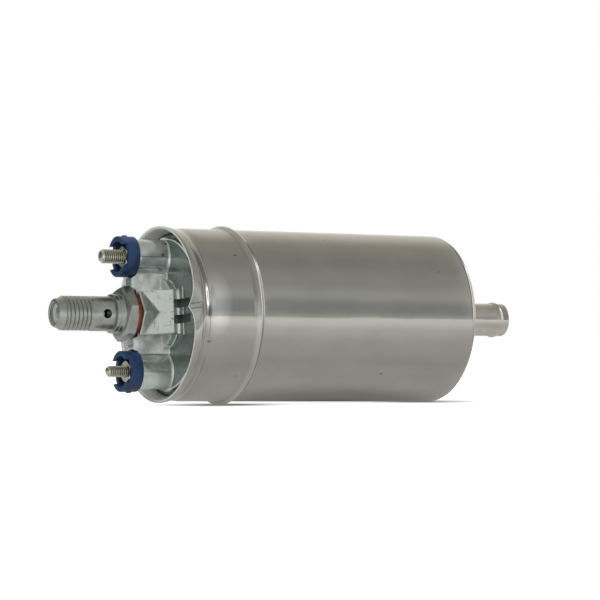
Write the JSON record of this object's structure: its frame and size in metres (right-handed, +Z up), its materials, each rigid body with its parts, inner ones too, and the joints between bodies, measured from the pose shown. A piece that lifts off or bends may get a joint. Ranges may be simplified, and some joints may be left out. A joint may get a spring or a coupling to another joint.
{
  "type": "electric fuel pump",
  "caption": "In-line electric fuel pump in a drawn steel can: check valve fitting and two insulated studs on a cast cover at one end, a beaded hose nipple at the other.",
  "frame": {"origin": "on the pump axis, halfway between the can's bead and its inlet end, in the middle of the plain stretch that the clamp holds", "axes": "+X along the pump axis from the outlet end to the inlet end, +Z up as the pump lies in the picture, +Y away from the camera"},
  "size_m": [0.1802, 0.0624, 0.0624],
  "materials": {
    "can_steel": "brushed",
    "plated_steel": "satin",
    "stainless": "satin",
    "cast_aluminium": "cast",
    "copper": "satin",
    "winding_copper": "satin",
    "brass": "satin",
    "bronze": "matte",
    "blue_plastic": "matte",
    "black_plastic": "matte",
    "pale_plastic": "matte",
    "rubber": "matte",
    "spring_steel": "satin",
    "carbon": "matte",
    "soft_iron": "matte",
    "ferrite": "matte",
    "sintered_steel": "satin",
    "hard_steel": "ground"
  },
  "bodies": {
    "housing": {"canister": "can_steel", "inlet_nipple": "plated_steel", "inlet_strainer": "pale_plastic", "outlet_cover": "cast_aluminium", "cover_seal_ring": "rubber", "outlet_fitting": "plated_steel", "outlet_washer": "copper", "check_valve_spring": "spring_steel", "check_valve_retainer": "pale_plastic", "positive_insulator": "blue_plastic", "negative_insulator": "blue_plastic", "positive_stud": "stainless", "negative_stud": "stainless", "positive_nut": "stainless", "negative_nut": "stainless", "inner_insulators": "black_plastic", "terminal_seals": "rubber", "brush_holder": "black_plastic", "positive_brush_tube": "brass", "negative_brush_tube": "brass", "positive_brush_spring": "spring_steel", "negative_brush_spring": "spring_steel", "flux_sleeve": "soft_iron", "magnet_near": "ferrite", "magnet_far": "ferrite", "magnet_clips": "spring_steel", "cover_bush": "bronze", "stage_bush": "bronze", "port_plate": "cast_aluminium", "rotor_ring": "cast_aluminium", "inlet_plate": "cast_aluminium", "relief_spring": "spring_steel", "relief_plug": "brass", "stage_screws": "plated_steel"},
    "armature": {"armature_shaft": "hard_steel", "armature_core": "soft_iron", "armature_windings": "winding_copper", "commutator_segments": "winding_copper", "commutator_hub": "black_plastic", "thrust_washers": "bronze", "inner_rotor": "sintered_steel", "drive_pin": "hard_steel"},
    "outer_rotor_ring": {"outer_rotor": "sintered_steel"},
    "outlet_valve": {"check_valve_plunger": "brass"},
    "relief_valve": {"relief_ball": "hard_steel"},
    "brush_plus": {"positive_brush": "carbon"},
    "brush_minus": {"negative_brush": "carbon"}
  },
  "joints": [
    {"name": "armature_spin", "type": "hinge", "parent": "housing", "child": "armature", "pos_m": [0, 0, 0], "axis": [1, 0, 0], "continuous": true},
    {"name": "outer_rotor_spin", "type": "hinge", "parent": "housing", "child": "outer_rotor_ring", "pos_m": [0.028, 0, -0.0019], "axis": [1, 0, 0], "continuous": true},
    {"name": "outlet_valve_slide", "type": "slide", "parent": "housing", "child": "outlet_valve", "axis": [-1, 0, 0], "range_m": [0, 0.002], "stiffness_N_per_m": 200, "springref_m": -0.004, "deforming": ["check_valve_spring"]},
    {"name": "relief_valve_slide", "type": "slide", "parent": "housing", "child": "relief_valve", "axis": [1, 0, 0], "range_m": [0, 0.0015], "stiffness_N_per_m": 100, "springref_m": -0.008, "deforming": ["relief_spring"]},
    {"name": "positive_brush_slide", "type": "slide", "parent": "housing", "child": "brush_plus", "axis": [0, 0.0941, 0.9956], "range_m": [0, 0.002], "stiffness_N_per_m": 80, "springref_m": -0.006, "deforming": ["positive_brush_spring"]},
    {"name": "negative_brush_slide", "type": "slide", "parent": "housing", "child": "brush_minus", "axis": [0, -0.0941, -0.9956], "range_m": [0, 0.002], "stiffness_N_per_m": 80, "springref_m": -0.006, "deforming": ["negative_brush_spring"]}
  ],
  "couplings": [
    {"joint": "outer_rotor_spin", "follows": "armature_spin", "ratio": 0.85714}
  ]
}
